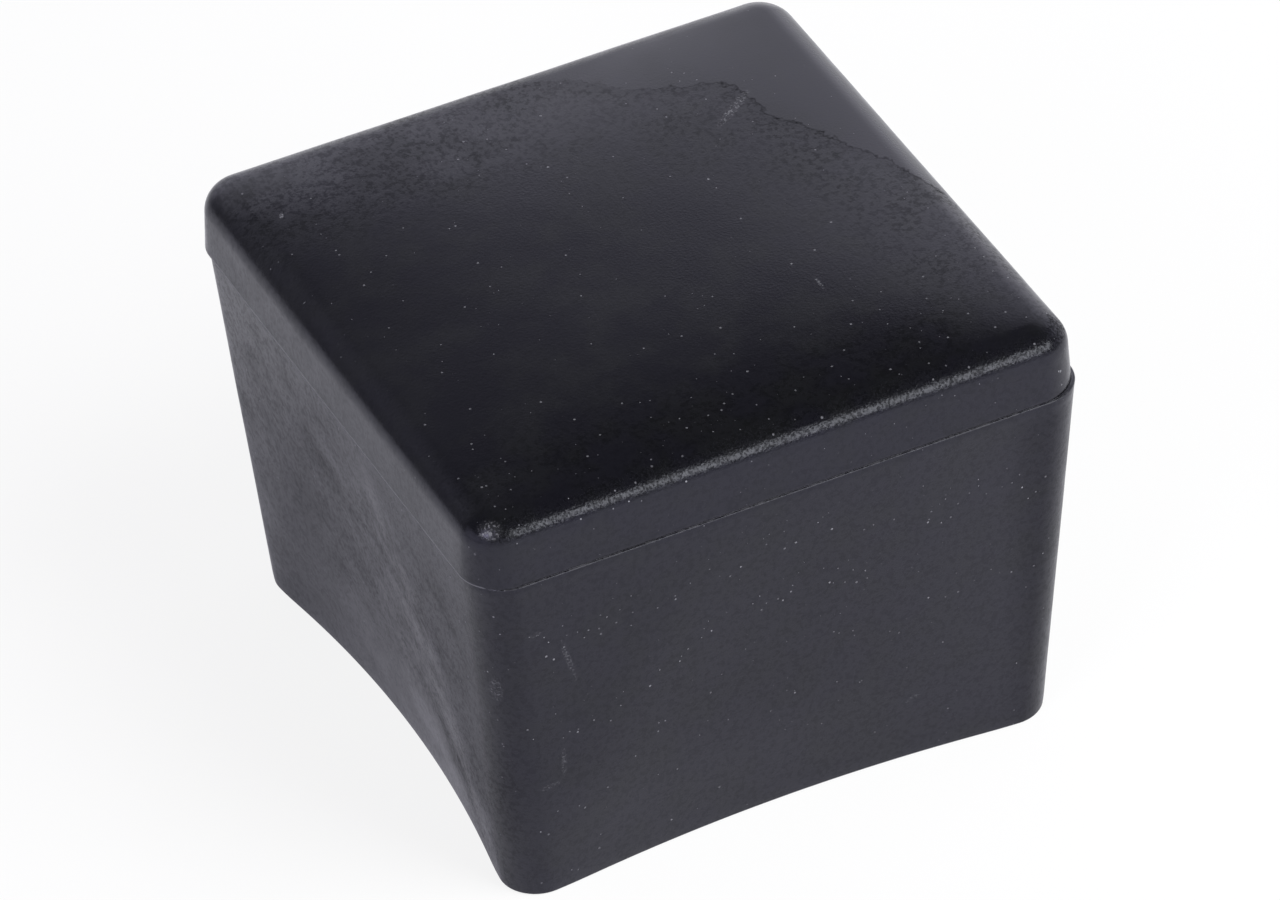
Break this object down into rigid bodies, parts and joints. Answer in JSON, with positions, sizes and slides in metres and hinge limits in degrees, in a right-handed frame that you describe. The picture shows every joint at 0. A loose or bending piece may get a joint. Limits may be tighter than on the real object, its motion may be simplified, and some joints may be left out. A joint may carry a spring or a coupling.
{
  "type": "square leg cap",
  "caption": "Slip-on square foot cap: a tapered skirt that grips a square tube leg, closed by a thick flat sole with rounded edges.",
  "frame": {"origin": "centre of the mouth's rim plane", "axes": "+Z from the mouth to the closed sole, +X and +Y square to the side walls"},
  "size_m": [0.0452, 0.0451, 0.034],
  "materials": {
    "cap_rubber": "matt black, faintly mottled, with fine pale specks"
  },
  "bodies": {
    "root": {"leg_cap": "cap_rubber"}
  },
  "joints": []
}
